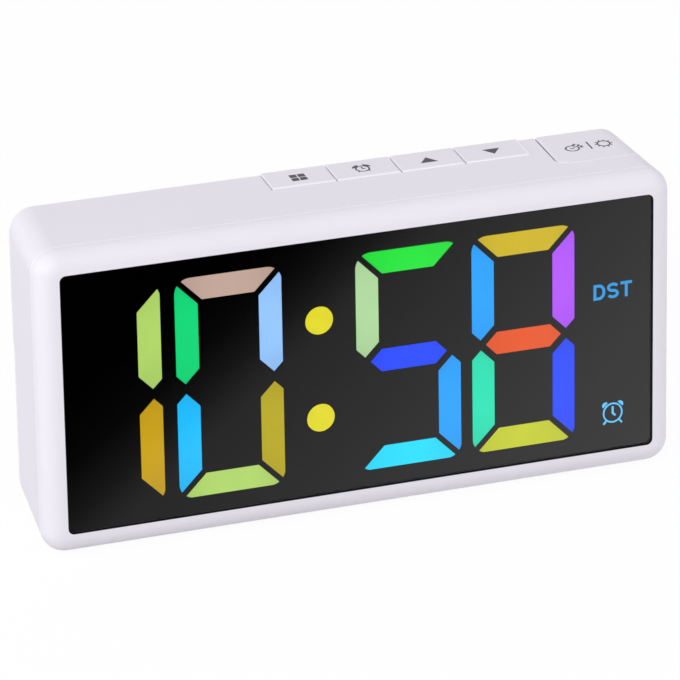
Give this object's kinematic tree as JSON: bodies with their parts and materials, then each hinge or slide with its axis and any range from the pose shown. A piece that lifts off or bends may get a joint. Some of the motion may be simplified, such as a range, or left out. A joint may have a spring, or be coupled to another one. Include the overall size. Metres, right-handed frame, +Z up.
{
  "type": "digital led desk clock",
  "caption": "Leaning rectangular desk clock with a smoked front window, lit segment time display, push keys along the rear top edge and a snooze bar at the top corner.",
  "frame": {"origin": "on the table under the middle of the clock, at the bottom centre of its bounding box", "axes": "+X to the right seen from the front, +Y from the screen towards the back, +Z up; the face leans back from the table"},
  "size_m": [0.165, 0.0444, 0.0765],
  "materials": {
    "case_white": "satin",
    "key_white": "satin",
    "smoked_window": "gloss",
    "mask_black": "matte",
    "block_black": "matte",
    "lit_hour_tens": "satin",
    "lit_hour_units": "satin",
    "lit_minute_tens": "satin",
    "lit_minute_units": "satin",
    "unlit": "satin",
    "lit_colon": "satin",
    "lit_blue": "satin",
    "lit_cyan": "satin",
    "board_green": "satin",
    "led_white": "satin",
    "screw_steel": "satin",
    "switch_black": "satin",
    "plunger_dark": "satin",
    "ribbon_grey": "satin",
    "can_metal": "satin",
    "contact_nickel": "satin",
    "lead_red": "satin",
    "foot_rubber": "matte"
  },
  "bodies": {
    "case": {"front_frame": "case_white", "display_window": "smoked_window", "mask_film": "mask_black", "light_block": "block_black", "hour_tens_segments": "lit_hour_tens", "hour_units_segments": "lit_hour_units", "minute_tens_segments": "lit_minute_tens", "minute_units_segments": "lit_minute_units", "unlit_segments": "unlit", "colon_dots": "lit_colon", "daylight_indicator": "lit_blue", "alarm_indicator": "lit_cyan", "display_board": "board_green", "segment_leds": "led_white", "board_screws": "screw_steel", "rear_housing": "case_white", "key_board": "board_green", "key_switches": "switch_black", "key_board_screws": "screw_steel", "ribbon_cable": "ribbon_grey", "control_chip": "switch_black", "crystal": "can_metal", "capacitors": "can_metal", "buzzer": "switch_black", "power_board": "board_green", "power_inlet": "can_metal", "power_lead": "lead_red", "coin_cell": "can_metal", "battery_contacts": "contact_nickel", "battery_leads": "lead_red", "case_screws": "screw_steel", "rubber_feet": "foot_rubber"},
    "mode_key_body": {"mode_key": "key_white", "mode_plunger": "plunger_dark"},
    "alarm_key_body": {"alarm_key": "key_white", "alarm_plunger": "plunger_dark"},
    "up_key_body": {"up_key": "key_white", "up_plunger": "plunger_dark"},
    "down_key_body": {"down_key": "key_white", "down_plunger": "plunger_dark"},
    "snooze_bar_body": {"snooze_bar": "key_white", "snooze_plunger": "plunger_dark"},
    "door": {"battery_door": "case_white"}
  },
  "joints": [
    {"name": "mode_press", "type": "slide", "parent": "case", "child": "mode_key_body", "axis": [0, -0.0865, -0.9962], "range_m": [0, 0.0005], "stiffness_N_per_m": 1200, "springref_m": -0.0004},
    {"name": "alarm_press", "type": "slide", "parent": "case", "child": "alarm_key_body", "axis": [0, -0.0865, -0.9962], "range_m": [0, 0.0005], "stiffness_N_per_m": 1200, "springref_m": -0.0004},
    {"name": "up_press", "type": "slide", "parent": "case", "child": "up_key_body", "axis": [0, -0.0865, -0.9962], "range_m": [0, 0.0005], "stiffness_N_per_m": 1200, "springref_m": -0.0004},
    {"name": "down_press", "type": "slide", "parent": "case", "child": "down_key_body", "axis": [0, -0.0865, -0.9962], "range_m": [0, 0.0005], "stiffness_N_per_m": 1200, "springref_m": -0.0004},
    {"name": "snooze_press", "type": "slide", "parent": "case", "child": "snooze_bar_body", "axis": [0, -0.0865, -0.9962], "range_m": [0, 0.0005], "stiffness_N_per_m": 1200, "springref_m": -0.0004},
    {"name": "battery_door_tilt", "type": "hinge", "parent": "case", "child": "door", "pos_m": [0, 0.00575, 0.00444], "axis": [-1, 0, 0], "range_deg": [0, 70]}
  ]
}
